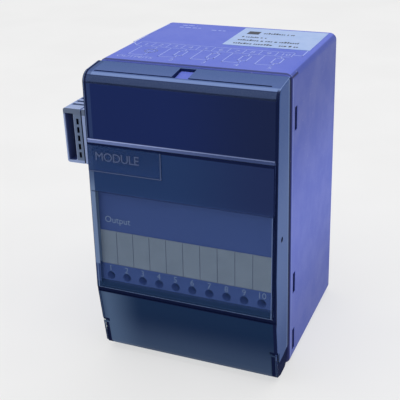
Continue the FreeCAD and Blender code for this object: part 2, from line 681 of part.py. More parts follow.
def build_terminal_carrier():
    """Front insert: plate, snap hooks, leaning terminal panel, side plates and hinge ears."""
    body = new_body("terminal_carrier")
    half = "carrier_half_width"
    plate_y = (behind("front_setback + 0.1"), behind("front_setback + 0.1 + carrier_plate"))
    body_box(body, "carrier_base", ("-" + half, half), plate_y,
             (level("wall + fit_gap"), level("height - wall - fit_gap")))
    nose = (
        (behind("front_setback + 0.2"), level("block_bottom")),
        (forward("block_forward - 0.4"), level("block_bottom")),
        (forward("block_forward - 0.4"), level("panel_bottom")),
        (forward("panel_bottom_forward"), level("panel_bottom")),
        (forward("panel_top_forward"), level("panel_top")),
        (behind("front_setback + 0.2"), level("panel_top")),
    )
    body_profile(body, "terminal_nose", nose, "carrier_half_width + 0.2")
    hollow = (
        (behind("8"), level("block_bottom - 5")),
        (forward("block_forward + 0.25"), level("block_bottom - 5")),
        (forward("block_forward + 0.25"), level("panel_top - panel_wall")),
        (behind("8"), level("panel_top - panel_wall")),
    )
    body_profile(body, "nose_hollow", hollow, "block_half_width + 0.1", remove=True)
    for index, x in enumerate(pole_positions()):
        body_rod(body, "panel_hole_%d" % index, "y", "hole_radius", "6",
                 (x, forward("13"), level("screw_level")), remove=True)
    for side in (-1, 1):
        tag = "left" if side < 0 else "right"

        def mirrored(low, high):
            return (low, high) if side > 0 else ("-(%s)" % high, "-(%s)" % low)

        outer = half + " + 0.2"
        body_box(body, "side_plate_" + tag, mirrored(outer + " - side_plate", outer),
                 (forward("7.6"), behind("front_setback + 0.2")), (level("panel_top - 1"), level("80.5")))
        body_box(body, "hinge_ear_" + tag, mirrored("ear_inner", "ear_outer"),
                 (forward("hinge_forward + 2.6"), behind("front_setback + 0.2")),
                 (level("2.05"), level("9.2")))
        pin_x = "ear_inner - barrel_length" if side > 0 else "-ear_inner - 0.1"
        body_rod(body, "hinge_pin_" + tag, "x", "pin_radius", "barrel_length + 0.1",
                 (pin_x, forward("hinge_forward"), level("hinge_level")))
        for index, (low, high) in enumerate(SNAP_SLOTS):
            z_span = (level("%s + 0.3" % low), level("%s - 0.3" % high))
            body_box(body, "snap_arm_%s_%d" % (tag, index), mirrored(half + " - 0.55", half),
                     (behind("1.5"), behind("slot_front + slot_width - 0.1")), z_span)
            body_box(body, "snap_nib_%s_%d" % (tag, index), mirrored(half + " - 0.2", half + " + 0.8"),
                     (behind("slot_front + 0.15"), behind("slot_front + slot_width - 0.15")), z_span)
    for index, (sx, sz) in enumerate(BOSSES):
        start = ("%d * board_post_x" % sx, behind("front_setback + 1"), "%d * board_post_z" % sz)
        body_rod(body, "carrier_post_%d" % index, "y", "2.6", "output_board_at - front_setback - 1", start)
        body_rod(body, "carrier_post_hole_%d" % index, "y", "screw_shank", "3.8",
                 (start[0], behind("output_board_at - 3.6"), start[2]), remove=True)
    body_box(body, "latch_gap", ("-2.4", "2.4"), (behind("-1"), behind("4")),
             (level("81.6"), level("90")), remove=True)
    return node(body, "terminal_carrier")


def build_bay_blank_plate():
    """Dark plate that closes the unused upper terminal bay."""
    plate = box("blank_sheet", ("-24.5", "24.5"), (forward("0.9"), behind("front_setback + 0.05")),
                (level("panel_top + 0.2"), level("81.2")))
    recess = box("blank_recess", ("-22.5", "22.5"), (forward("2"), forward("0.4")),
                 (level("panel_top + 2"), level("79.2")))
    return node(cut("bay_blank_plate", plate, [recess]), "bay_blank_plate")


def build_label_strip():
    """Marking strip on the terminal panel."""
    low, high = "29.8", "40"
    body = new_body("label_strip")
    corners = (
        (forward(panel_forward(low, "0")), level(low)),
        (forward(panel_forward(low, "-0.18")), level(low)),
        (forward(panel_forward(high, "-0.18")), level(high)),
        (forward(panel_forward(high, "0")), level(high)),
    )
    body_profile(body, "strip_sheet", corners, "carrier_half_width + 0.1")
    return node(body, "label_strip")


def build_rating_label():
    """Printed label on the top of the housing."""
    label = box("rating_label", ("-0.3", "25"), (behind("22.8"), behind("42.8")),
                ("height / 2", "height / 2 + 0.12"))
    return node(label, "rating_label")


# ---------------------------------------------------------------- cover
def outline(table):
    """Corners of a cover outline as formulas."""
    return [(forward(corner + "_forward"), level(corner + "_level")) for corner in table]


def flap_forward(at_level, inset):
    """Distance of the flap's outer face from the front plane at a level, less an inset."""
    slope = "(waist_forward - flap_foot_forward) / (waist_level - flap_foot_level)"
    return "flap_foot_forward + (%s - flap_foot_level) * %s - (%s)" % (at_level, slope, inset)


def build_front_cover():
    """Smoked cover: leaning front, side walls, latch notch and hinge barrels."""
    body = new_body("front_cover")
    heel_top = (forward("cover_gap"), level("hinge_level - 0.4"))
    body_profile(body, "cover_block", outline(COVER_OUTSIDE) + [heel_top], "cover_half_width")
    top_y = value_of(forward("crown_forward"))
    body_fillet(body, "cover_crown", "cover_corner", "x",
                lambda point: abs(point.y - top_y) < 0.01 and point.z > 40)
    body_fillet(body, "cover_upright_edges", "upright_radius", "z",
                lambda point: point.y < -50 and abs(point.x) > 26 and abs(point.z) < 42)
    body_profile(body, "cover_window", outline(COVER_WINDOW), "cover_half_width - window_inset")
    body_profile(body, "cover_hollow", outline(COVER_INSIDE), "cover_half_width - cover_wall", remove=True)
    body_box(body, "latch_notch", ("-notch_half_width", "notch_half_width"),
             (forward("crease_at"), forward("notch_rear")), (level("82.6"), level("90")), remove=True)
    crease_y = (forward("crease_at + 0.25"), forward("crease_at - 0.2"))
    body_box(body, "crease_groove", ("-24.2", "24.2"), crease_y, (level("84.6"), level("90")), remove=True)
    body_box(body, "cover_undercut", ("-width", "width"), (forward("14"), forward("11.1")),
             (level("20.9"), level("22")), remove=True)
    body_rod(body, "gate_mark", "x", "0.75", "2", ("cover_half_width - 0.3", forward("6.9"), level("44.1")),
             remove=True)
    tunnel_half = "ear_inner - barrel_length"
    body_box(body, "hinge_tunnel", ("-(%s)" % tunnel_half, tunnel_half),
             (forward("hinge_forward + 1.7"), behind("1")), (level("0"), level("6")), remove=True)
    for side in (-1, 1):
        build_cover_corner(body, side)
    return node(body, "front_cover")


def build_cover_corner(body, side):
    """Lower corner of the cover: room for the hinge ear, thinned heel, grooves and barrel."""
    tag = "left" if side < 0 else "right"
    ear_room = (
        (forward("7.9"), level("-1")),
        (forward("7.9"), level("8.7")),
        (forward("6"), level("9.6")),
        (behind("2"), level("10.1")),
        (behind("2"), level("-1")),
    )
    heel = (
        (forward("8.9"), level("-1")),
        (forward("8.9"), level("6.9")),
        (forward("5.3"), level("7.1")),
        (forward("3.1"), level("7.5")),
        (behind("2"), level("7.9")),
        (behind("2"), level("-1")),
    )
    upright_groove = (
        (forward("15"), level("1")),
        (forward("15"), level("9.3")),
        (forward(flap_forward("9.3", "0.5")), level("9.3")),
        (forward(flap_forward("1", "0.5")), level("1")),
    )
    cross_groove = (
        (forward("15"), level("10")),
        (forward("15"), level("11")),
        (forward(flap_forward("11", "0.5")), level("11")),
        (forward(flap_forward("10", "0.5")), level("10")),
    )
    side_pocket(body, "ear_room_" + tag, ear_room, "ear_inner - 0.15", "1.8", side)
    side_pocket(body, "heel_" + tag, heel, "cover_half_width - 0.5", "3", side)
    side_pocket(body, "upright_groove_" + tag, upright_groove, "24.9", "1.2", side)
    side_pocket(body, "cross_groove_" + tag, cross_groove, "24.5", "3", side)
    edge = ("cover_half_width - 0.3", "width") if side > 0 else ("-width", "0.3 - cover_half_width")
    body_box(body, "corner_step_" + tag, edge, (forward("15"), forward("8.5")), (level("-1"), level("10")),
             remove=True)
    barrel_x = "ear_inner - 0.15 - barrel_length" if side > 0 else "0.15 - ear_inner"
    axis_point = (forward("hinge_forward"), level("hinge_level"))
    body_rod(body, "barrel_" + tag, "x", "barrel_radius", "barrel_length", (barrel_x,) + axis_point)
    body_rod(body, "barrel_bore_" + tag, "x", "pin_radius + pin_clearance", "barrel_length + 4",
             ("(%s) - 2" % barrel_x,) + axis_point, remove=True)


def build_name_plate():
    """Name tile on the cover's window."""
    slope = "(window_foot_forward - window_top_forward) / (window_top_level - window_foot_level)"
    reach = "window_top_forward + (window_top_level - %s) * %s + (%s)"

    def face(at_level, proud):
        return forward(reach % (at_level, slope, proud))

    low, high = "58", "65.5"
    body = new_body("name_plate")
    corners = (
        (face(low, "0"), level(low)),
        (face(low, "0.2"), level(low)),
        (face(high, "0.2"), level(high)),
        (face(high, "0"), level(high)),
    )
    body_profile(body, "name_sheet", corners, "10.85")
    body.setExpression(".Placement.Base.x", "-15.35")
    return node(body, "name_plate")


def build_cover_latch():
    """Flexing tongue that passes under the cover's edge and rises in its notch."""
    body = new_body("cover_latch")
    corners = (
        (behind("1.3"), level("82.1")),
        (forward("6.8"), level("82.6")),
        (forward("6.8"), level("84.05")),
        (forward("notch_rear + 0.2"), level("84.9")),
        (forward("notch_rear + 0.05"), level("84.2")),
        (behind("1.3"), level("83.4")),
    )
    body_profile(body, "tongue", corners, "2")
    body_rod(body, "tongue_root", "x", "0.8", "4", ("-2", behind("1.4"), level("82.75")))
    return node(body, "cover_latch")


# ---------------------------------------------------------------- bus connector
def bus_levels():
    """Level of each bus contact above the underside."""
    return ["bus_first + %d * bus_pitch" % index for index in range(5)]


def build_bus_plug():
    """Plug on the left side: ribbed shell, contact carrier and contacts."""
    body = new_body("bus_plug_shell")
    near, far = behind("bus_front"), behind("bus_front + bus_depth")
    left = "-bus_reach"
    body_box(body, "plug_block", (left, "-width / 2 - 0.1"), (near, far),
             (level("bus_low"), level("bus_high")))
    body_fillet(body, "plug_edges", "0.7", "y", lambda point: point.x < -40)
    body_box(body, "plug_bay", (left + " + 0.45", left + " + 3.2"),
             (behind("bus_front - 1"), behind("bus_front + 9")),
             (level("bus_low + 0.7"), level("bus_high - 1.5")), remove=True)
    bay_right = value_of(left + " + 3.2")
    body_fillet(body, "bay_corner", "0.9", "y",
                lambda point: abs(point.x - bay_right) < 0.01 and point.z < 12)
    groove_x = (left + " + 5.6", left + " + 6")
    body_box(body, "plug_groove", groove_x, (behind("bus_front - 1"), behind("bus_front + 1.2")),
             (level("bus_low - 1"), level("bus_high + 1")), remove=True)
    body_box(body, "plug_groove_top", groove_x, (behind("bus_front - 1"), behind("bus_front + 20")),
             (level("bus_high - 0.5"), level("bus_high + 1")), remove=True)
    for index in range(4):
        y = 3.2 + 2.6 * index
        body_box(body, "plug_rib_gap_%d" % index, (left + " + 0.9", left + " + 5.1"),
                 (behind("bus_front + %s" % y), behind("bus_front + %s" % (y + 1.2))),
                 (level("bus_high - 0.45"), level("bus_high + 1")), remove=True)
    for index, at in enumerate(bus_levels()):
        body_box(body, "plug_slot_%d" % index, (left + " + 4.05", left + " + 4.85"),
                 (behind("bus_front - 1"), behind("bus_front + 5")),
                 (level("%s - 0.875" % at), level("%s + 0.875" % at)), remove=True)
    body_box(body, "plug_core", ("-36", "0"), (behind("8"), behind("12.4")),
             (level("bus_low + 2.2"), level("bus_high - 2.4")), remove=True)
    node(body, "bus_plug_shell")

    tongue = box("tongue_block", ("-36", "-20"), (behind("8"), behind("12.4")),
                 (level("bus_low + 2.2"), level("bus_high - 2.4")))
    bores, contacts = [], []
    bore_y = (behind("bus_pin_depth - 0.6"), behind("bus_pin_depth + 0.6"))
    for index, at in enumerate(bus_levels()):
        bores.append(box("tongue_bore_%d" % index, ("-34", "-19"), bore_y,
                         (level("%s - 0.6" % at), level("%s + 0.6" % at))))
        for side in (-1, 1):
            near_leaf, far_leaf = sorted((0.36 * side, 0.56 * side))
            leaf_y = (behind("bus_pin_depth + %s" % near_leaf), behind("bus_pin_depth + %s" % far_leaf))
            contacts.append(box("leaf_%d_%s" % (index, "a" if side < 0 else "b"), ("-33.9", "-20.2"),
                                leaf_y, (level("%s - 0.4" % at), level("%s + 0.4" % at))))
    node(cut("bus_plug_insulator", tongue, bores), "bus_plug_insulator")
    node(group("bus_plug_contacts", contacts), "bus_plug_contacts")


def build_bus_header():
    """Header on the output board that takes the bus plug."""
    shell = box("header_shell", ("-25", "-13.5"), (behind("output_board_at + board"), behind("12.8")),
                (level("bus_low + 1.4"), level("bus_high - 1.6")))
    mouth = box("header_mouth", ("-30", "-16"), (behind("7.9"), behind("12.5")),
                (level("bus_low + 2.05"), level("bus_high - 2.25")))
    bores, pins = [], []
    bore_y = (behind("bus_pin_depth - 0.31"), behind("bus_pin_depth + 0.31"))
    pin_y = (behind("bus_pin_depth - 0.3"), behind("bus_pin_depth + 0.3"))
    for index, at in enumerate(bus_levels()):
        bores.append(box("header_bore_%d" % index, ("-17", "-12"), bore_y,
                         (level("%s - 0.31" % at), level("%s + 0.31" % at))))
        pins.append(box("header_pin_%d" % index, ("-24", "-12.5"), pin_y,
                        (level("%s - 0.3" % at), level("%s + 0.3" % at))))
    node(cut("bus_header", shell, [mouth] + bores), "bus_header")
    node(group("bus_header_pins", pins), "bus_header_pins")


def check_and_write():
    """Recompute, test every object, and write one STEP file for each node."""
    doc.recompute()
    for item in doc.Objects:
        if "Invalid" in item.State or "Error" in item.State:
            raise RuntimeError("%s is %s" % (item.Name, item.State))
    for item in nodes:
        if item.Shape.isNull() or not item.Shape.isValid() or not item.Shape.Solids:
            raise RuntimeError("%s has no valid shape" % item.Label)
    os.makedirs("parts", exist_ok=True)
    for item in nodes:
        item.Shape.exportStep("parts/%s.step" % item.Label)


ROWS = fill_sheet()
build_housing_shell()
build_rear_base()
build_rail_latch()
build_rail_latch_spring()
build_base_screws()
build_board("main_board", "main_board_at")
build_board("output_board", "output_board_at")
build_board_screws()
build_stack_connector()
build_chips()
build_power_parts()
build_small_components()
build_terminal_block()
build_terminal_metal()
build_terminal_carrier()
build_bay_blank_plate()
build_label_strip()
build_rating_label()
build_front_cover()
build_name_plate()
build_cover_latch()
build_bus_plug()
build_bus_header()
check_and_write()
print("wrote %d nodes" % len(nodes))
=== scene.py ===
import math
import random
from types import SimpleNamespace

import bmesh
import bpy
from mathutils import Matrix, Vector


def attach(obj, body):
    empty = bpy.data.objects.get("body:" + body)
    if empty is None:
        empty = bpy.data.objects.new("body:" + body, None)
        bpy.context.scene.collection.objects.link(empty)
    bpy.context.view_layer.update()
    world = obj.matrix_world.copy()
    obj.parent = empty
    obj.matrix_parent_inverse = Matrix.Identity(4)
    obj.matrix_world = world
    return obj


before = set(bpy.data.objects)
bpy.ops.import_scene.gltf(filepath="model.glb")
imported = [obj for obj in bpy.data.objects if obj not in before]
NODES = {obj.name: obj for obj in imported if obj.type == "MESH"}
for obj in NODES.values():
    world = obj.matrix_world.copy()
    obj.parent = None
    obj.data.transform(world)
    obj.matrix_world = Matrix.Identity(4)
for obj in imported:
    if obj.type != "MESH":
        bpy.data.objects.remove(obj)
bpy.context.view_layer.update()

MM = 0.001
RNG = random.Random(11)

# Sizes in millimetres, in the row frame.
TOP_Z = 43.0
FRONT_Y = -45.0
BOTTOM_Z = -43.0
PITCH = 5.0
POLES = 10


# ---------------------------------------------------------------- shader helpers
class Graph:
    """A material's node tree with short calls for the nodes used here."""

    def __init__(self, name):
        self.material = bpy.data.materials.new(name)
        self.material.use_nodes = True
        self.tree = self.material.node_tree
        self.tree.nodes.clear()
        self.output = self.tree.nodes.new("ShaderNodeOutputMaterial")
        self.coordinates = self.add("ShaderNodeTexCoord")
        self.place = self.coordinates.outputs["Object"]

    def add(self, kind, **settings):
        node = self.tree.nodes.new(kind)
        for key, value in settings.items():
            setattr(node, key, value)
        return node

    def link(self, source, target):
        self.tree.links.new(source, target)

    def feed(self, socket, value):
        """Link a socket or set a constant."""
        if isinstance(value, bpy.types.NodeSocket):
            self.link(value, socket)
        elif isinstance(value, (tuple, list)) and len(value) == 3 and socket.type == "RGBA":
            socket.default_value = (*value, 1.0)
        else:
            socket.default_value = value

    def stretch(self, scale):
        """Object coordinates, in metres, times a scale for each axis."""
        mapping = self.add("ShaderNodeMapping")
        mapping.inputs["Scale"].default_value = scale
        self.link(self.place, mapping.inputs["Vector"])
        return mapping.outputs["Vector"]

    def noise(self, size_mm, detail=2.0, rough=0.5, at=None):
        """Noise whose features are about this many millimetres wide."""
        node = self.add("ShaderNodeTexNoise")
        node.inputs["Scale"].default_value = 1.0 / (size_mm * MM)
        node.inputs["Detail"].default_value = detail
        node.inputs["Roughness"].default_value = rough
        self.link(at or self.place, node.inputs["Vector"])
        return node.outputs["Fac"]

    def span(self, value, low, high, to_low=0.0, to_high=1.0):
        """Map a range to another range, clamped and smooth."""
        node = self.add("ShaderNodeMapRange", interpolation_type="SMOOTHSTEP")
        self.feed(node.inputs["Value"], value)
        node.inputs["From Min"].default_value = low
        node.inputs["From Max"].default_value = high
        node.inputs["To Min"].default_value = to_low
        node.inputs["To Max"].default_value = to_high
        return node.outputs["Result"]

    def below(self, value, start, end):
        """One under the start, falling to zero at the end."""
        return self.span(value, start, end, 1.0, 0.0)

    def math(self, operation, a, b=0.0):
        node = self.add("ShaderNodeMath", operation=operation)
        self.feed(node.inputs[0], a)
        self.feed(node.inputs[1], b)
        return node.outputs[0]

    def mix(self, factor, a, b, blend="MIX"):
        node = self.add("ShaderNodeMix", data_type="RGBA", blend_type=blend)
        self.feed(node.inputs["Factor"], factor)
        self.feed(node.inputs["A"], a)
        self.feed(node.inputs["B"], b)
        return node.outputs["Result"]

    def axis(self, letter):
        """One object coordinate, in metres."""
        node = self.add("ShaderNodeSeparateXYZ")
        self.link(self.place, node.inputs[0])
        return node.outputs[letter]

    def place_mm(self):
        """Across, ahead of the front plane and above the underside, in millimetres."""
        across = self.math("MULTIPLY", self.axis("X"), 1.0 / MM)
        ahead = self.math("ADD", self.math("MULTIPLY", self.axis("Y"), -1.0 / MM), FRONT_Y)
        above = self.math("ADD", self.math("MULTIPLY", self.axis("Z"), 1.0 / MM), -BOTTOM_Z)
        return across, ahead, above

    def facing(self):
        """The surface's own direction before any bump, as three values."""
        node = self.add("ShaderNodeSeparateXYZ")
        self.link(self.coordinates.outputs["Normal"], node.inputs[0])
        return node.outputs["X"], node.outputs["Y"], node.outputs["Z"]

    def within(self, value, low, high, soft=0.05):
        """One between two limits and zero outside, with soft ends."""
        rise = self.span(value, low - soft, low + soft)
        fall = self.below(value, high - soft, high + soft)
        return self.math("MULTIPLY", rise, fall)

    def both(self, *masks):
        result = masks[0]
        for mask in masks[1:]:
            result = self.math("MULTIPLY", result, mask)
        return result

    def either(self, *masks):
        result = masks[0]
        for mask in masks[1:]:
            result = self.math("MAXIMUM", result, mask)
        return result

    def bump(self, height, strength, distance_mm, normal=None):
        node = self.add("ShaderNodeBump")
        node.inputs["Strength"].default_value = strength
        node.inputs["Distance"].default_value = distance_mm * MM
        self.link(height, node.inputs["Height"])
        if normal is not None:
            self.link(normal, node.inputs["Normal"])
        return node.outputs["Normal"]

    def surface(self, colour, rough, normal=None, **sockets):
        shader = self.add("ShaderNodeBsdfPrincipled")
        self.feed(shader.inputs["Base Color"], colour)
        self.feed(shader.inputs["Roughness"], rough)
        if normal is not None:
            self.link(normal, shader.inputs["Normal"])
        for key, value in sockets.items():
            self.feed(shader.inputs[key.replace("_", " ")], value)
        return shader

    def finish(self, shader):
        self.link(shader.outputs[0], self.output.inputs["Surface"])
        return self.material


def moulded(name, colour, shade, rough=(0.42, 0.58), grain=0.12, grain_mm=0.22, specks=0.0, zones=None,
            **sockets):
    """Moulded plastic: eroded grain, soft mottling, a few rubbed patches and dust specks.

    zones, if given, returns pairs of a mask and a colour that go over the base.
    """
    g = Graph(name)
    mottle = g.noise(9.0, 3.0, 0.6)
    fine = g.noise(grain_mm, 2.0, 0.6)
    rub = g.span(g.noise(4.0, 5.0, 0.7, g.stretch((1.0, 1.0, 3.0))), 0.60, 0.72)
    base = g.mix(g.span(mottle, 0.35, 0.68), colour, shade)
    lighter = tuple(min(1.0, c * 1.35) for c in colour)
    base = g.mix(g.math("MULTIPLY", g.span(fine, 0.35, 0.7), 0.12), base, lighter)
    for mask, tint in (zones(g) if zones else ()):
        base = g.mix(mask, base, tint)
    if specks:
        dots = g.span(g.noise(0.7, 1.0, 0.5), 0.755, 0.79)
        base = g.mix(g.math("MULTIPLY", dots, specks), base, (0.75, 0.75, 0.78))
    roughness = g.math("ADD", g.span(mottle, 0.3, 0.7, rough[0], rough[1]), g.math("MULTIPLY", rub, -0.08))
    normal = g.bump(fine, grain, 0.02)
    return g.finish(g.surface(base, roughness, normal, **sockets))


def metal(name, colour, rough=(0.22, 0.42), streak=(1.0, 1.0, 14.0), stain=(0.35, 0.33, 0.30)):
    """Plated metal with fine streaks and faint staining."""
    g = Graph(name)
    lines = g.noise(1.6, 4.0, 0.7, g.stretch(streak))
    patches = g.noise(1.1, 3.0, 0.6)
    base = g.mix(g.span(patches, 0.52, 0.75, 0.0, 0.55), colour, stain)
    roughness = g.span(lines, 0.3, 0.7, rough[0], rough[1])
    normal = g.bump(lines, 0.12, 0.02)
    return g.finish(g.surface(base, roughness, normal, Metallic=1.0))


def printed(name, colour, wear=0.25, rough=0.5):
    """Pad print with pinholes and uneven ink."""
    g = Graph(name)
    ink = g.noise(0.35, 3.0, 0.7)
    base = g.mix(g.span(ink, 0.45, 0.75, 0.0, wear), colour, tuple(c * 0.62 for c in colour))
    normal = g.bump(ink, 0.1, 0.01)
    return g.finish(g.surface(base, g.span(ink, 0.3, 0.7, rough - 0.08, rough + 0.1), normal))


# Housing and cover, in millimetres: half widths, and levels above the underside.
HOUSING_HALF = 27.0
FRAME_HALF = 25.9     # the window's edge, where the frame around it begins
CREASE_LEVEL = 83.0   # crease between the cover's top and its rolled front edge
ROLL_LEVEL = 80.0     # where the rolled edge meets the front
LEDGE_LEVEL = 66.5    # step at the top of the window
PANEL_LEVEL = 52.0    # upper edge of the panel behind the window
HOLES_HIGH, HOLES_LOW = 30.2, 24.8
WINDOW_LEVEL = 22.25  # lower edge of the window
FLAP_LEVEL = 20.9     # upper edge of the leaning flap
HEEL_LEVEL = 8.2      # upper end of the heel at the side wall's foot


def cover_regions(g):
    """Masks of the cover's large areas, and of the painted light and shade laid over some of them."""
    across, ahead, above = g.place_mm()
    side = g.math("ABSOLUTE", across)
    toward_x, toward_y, toward_z = g.facing()
    at_roll = g.span(above, ROLL_LEVEL, ROLL_LEVEL + 1.0)
    m = SimpleNamespace(across=across, ahead=ahead, above=above, side=side, toward_y=toward_y)
    m.front = g.below(toward_y, -0.75, -0.45)
    m.outer_side = g.both(g.span(side, 26.6, 26.75), g.span(g.math("ABSOLUTE", toward_x), 0.55, 0.8))
    m.inner = g.below(side, 26.78, 26.86)
    m.crease = g.span(above, CREASE_LEVEL, CREASE_LEVEL + 0.4)
    m.over_ledge = g.span(above, LEDGE_LEVEL + 0.5, LEDGE_LEVEL + 0.8)
    m.top = g.both(g.span(toward_z, 0.10, 0.28), at_roll)
    # Painted highlight along the ridge of the rolled front edge.
    m.crest = g.both(g.within(toward_z, 0.72, 0.90, 0.04), m.crease)
    # Painted shade: a dark line in the crease behind the rolled edge.
    m.crease_line = g.both(g.within(toward_z, 0.68, 0.72, 0.03), m.crease)
    # Painted shade on the forward-facing rolled edge below the ridge.
    m.roll = g.both(g.within(toward_z, 0.14, 0.70, 0.04), at_roll)
    m.upper = g.both(g.span(above, LEDGE_LEVEL, LEDGE_LEVEL + 0.2), g.below(toward_z, 0.10, 0.2))
    m.middle = g.within(above, PANEL_LEVEL + 0.3, LEDGE_LEVEL - 0.5, 0.15)
    m.flap = g.both(m.front, g.below(above, FLAP_LEVEL, FLAP_LEVEL + 0.3))
    # Painted light on the flap, strongest towards the left and fading to the right.
    unlit = g.both(m.flap, g.span(across, -26.5, -13.0), g.span(above, 3.0, 16.0, 0.5, 1.0))
    m.flap_glow = g.both(m.flap, g.math("SUBTRACT", 1.0, unlit), g.span(across, -27.0, -24.0, 0.35, 1.0))
    m.foot = g.both(m.front, g.within(above, WINDOW_LEVEL + 0.45, HOLES_LOW, 0.25))
    m.holes = g.both(m.front, g.within(above, HOLES_LOW, HOLES_HIGH, 0.25))
    # Painted shade on the lower part of the side wall.
    m.low_side = g.both(m.outer_side, g.below(above, 8.0, 26.0))
    # Painted shade on the side wall towards the top and the bottom; its middle stays lighter.
    m.ends = g.either(g.span(above, 45.0, 80.0), g.below(above, 8.0, 40.0))
    return m


def cover_lines(g, m):
    """Masks of painted shade along the cover's edges and gaps, and of painted highlights and light near them.
    """
    # Painted highlight: a light band along the left edge of the window, fainter towards the top.
    left_highlight_band = g.both(g.below(m.across, -24.9, -24.7), g.span(m.across, -26.45, -26.35),
                       g.within(m.above, 22.8, 65.8, 0.2))
    m.left_strip = g.both(left_highlight_band, g.span(m.above, 52.0, 57.0, 1.0, 0.45))
    # The heel, the cut-away foot of the side wall, is painted dark: painted shade.
    m.heel = g.both(g.span(m.side, 26.3, 26.34), g.below(m.side, 26.5, 26.55),
                    g.below(m.above, HEEL_LEVEL, HEEL_LEVEL + 0.2))
    # Painted highlights: thin light lines beside the window's side and lower edges, on the left edge above
    # the ledge and on the side wall near its back edge.
    m.bright = g.either(
        g.both(m.front, g.within(m.above, 22.8, PANEL_LEVEL), g.within(m.side, 25.55, 25.75, 0.04)),
        g.both(g.within(m.across, -26.6, -26.3, 0.08), m.over_ledge, g.below(m.toward_y, -0.5, -0.3)),
        g.both(m.front, g.within(m.above, WINDOW_LEVEL, WINDOW_LEVEL + 0.5, 0.06),
               g.below(m.side, 26.0, 26.1)),
        g.both(m.outer_side, g.within(m.ahead, 1.7, 2.0, 0.06)),
    )
    left_end = g.span(m.across, -26.6, -26.5)
    # Painted highlights: two light lines on the ledge at the top of the window.
    m.ledge_line = g.both(g.within(m.above, LEDGE_LEVEL + 0.05, LEDGE_LEVEL + 0.4, 0.06), left_end, m.inner)
    m.ledge_low = g.both(g.within(m.above, LEDGE_LEVEL - 0.45, LEDGE_LEVEL + 0.05, 0.06), left_end, m.inner)
    # Painted light near the left edge above the ledge.
    m.edge_glow = g.both(g.within(m.across, -25.7, -24.6, 0.15), m.over_ledge)
    # Painted light on the lower front corners of the cover.
    m.corner_glow = g.both(m.front, g.within(m.side, 26.3, 26.75, 0.05), g.within(m.above, 3.4, 9.8, 0.2))
    # Painted shade: dark lines along the front corners, the left outline, the gap to the housing, the step
    # under the window, the line under the ledge, the frame beside the flap, the crease and the heel.
    m.dark_edge = g.either(
        g.both(m.front, g.within(m.across, 25.95, 26.85, 0.06), g.span(m.above, 10.2, 10.5)),
        g.both(g.below(m.across, -26.5, -26.4), g.span(m.above, 3.0, 3.4), g.below(m.toward_y, -0.3, -0.15)),
        g.both(g.within(m.across, -26.3, -25.7, 0.1), m.over_ledge),
        g.both(g.below(m.ahead, 1.25, 1.4), m.outer_side),
        g.both(g.span(m.ahead, 10.9, 11.1), m.outer_side),
        g.both(g.within(m.above, FLAP_LEVEL - 0.2, WINDOW_LEVEL, 0.06), g.span(m.ahead, 9.0, 9.5), m.inner),
        g.both(m.front, g.within(m.above, 65.2, 65.95, 0.08)),
        g.both(m.front, g.within(m.side, FRAME_HALF, FRAME_HALF + 0.2, 0.04),
               g.within(m.above, 11.0, FLAP_LEVEL)),
        g.both(m.front, g.within(m.above, 10.0, 11.0, 0.05), g.span(m.side, 24.5, 24.6)),
        g.both(g.within(m.side, 24.9, 26.1, 0.04), g.below(m.above, 9.4, 9.5), m.front),
        m.crease_line,
        m.heel,
    )
    # Painted shade along the upper edge of the panel behind the window.
    m.panel_edge = g.both(m.front, g.within(m.above, PANEL_LEVEL, PANEL_LEVEL + 0.35, 0.06),
                          g.below(m.side, FRAME_HALF, FRAME_HALF + 0.1))


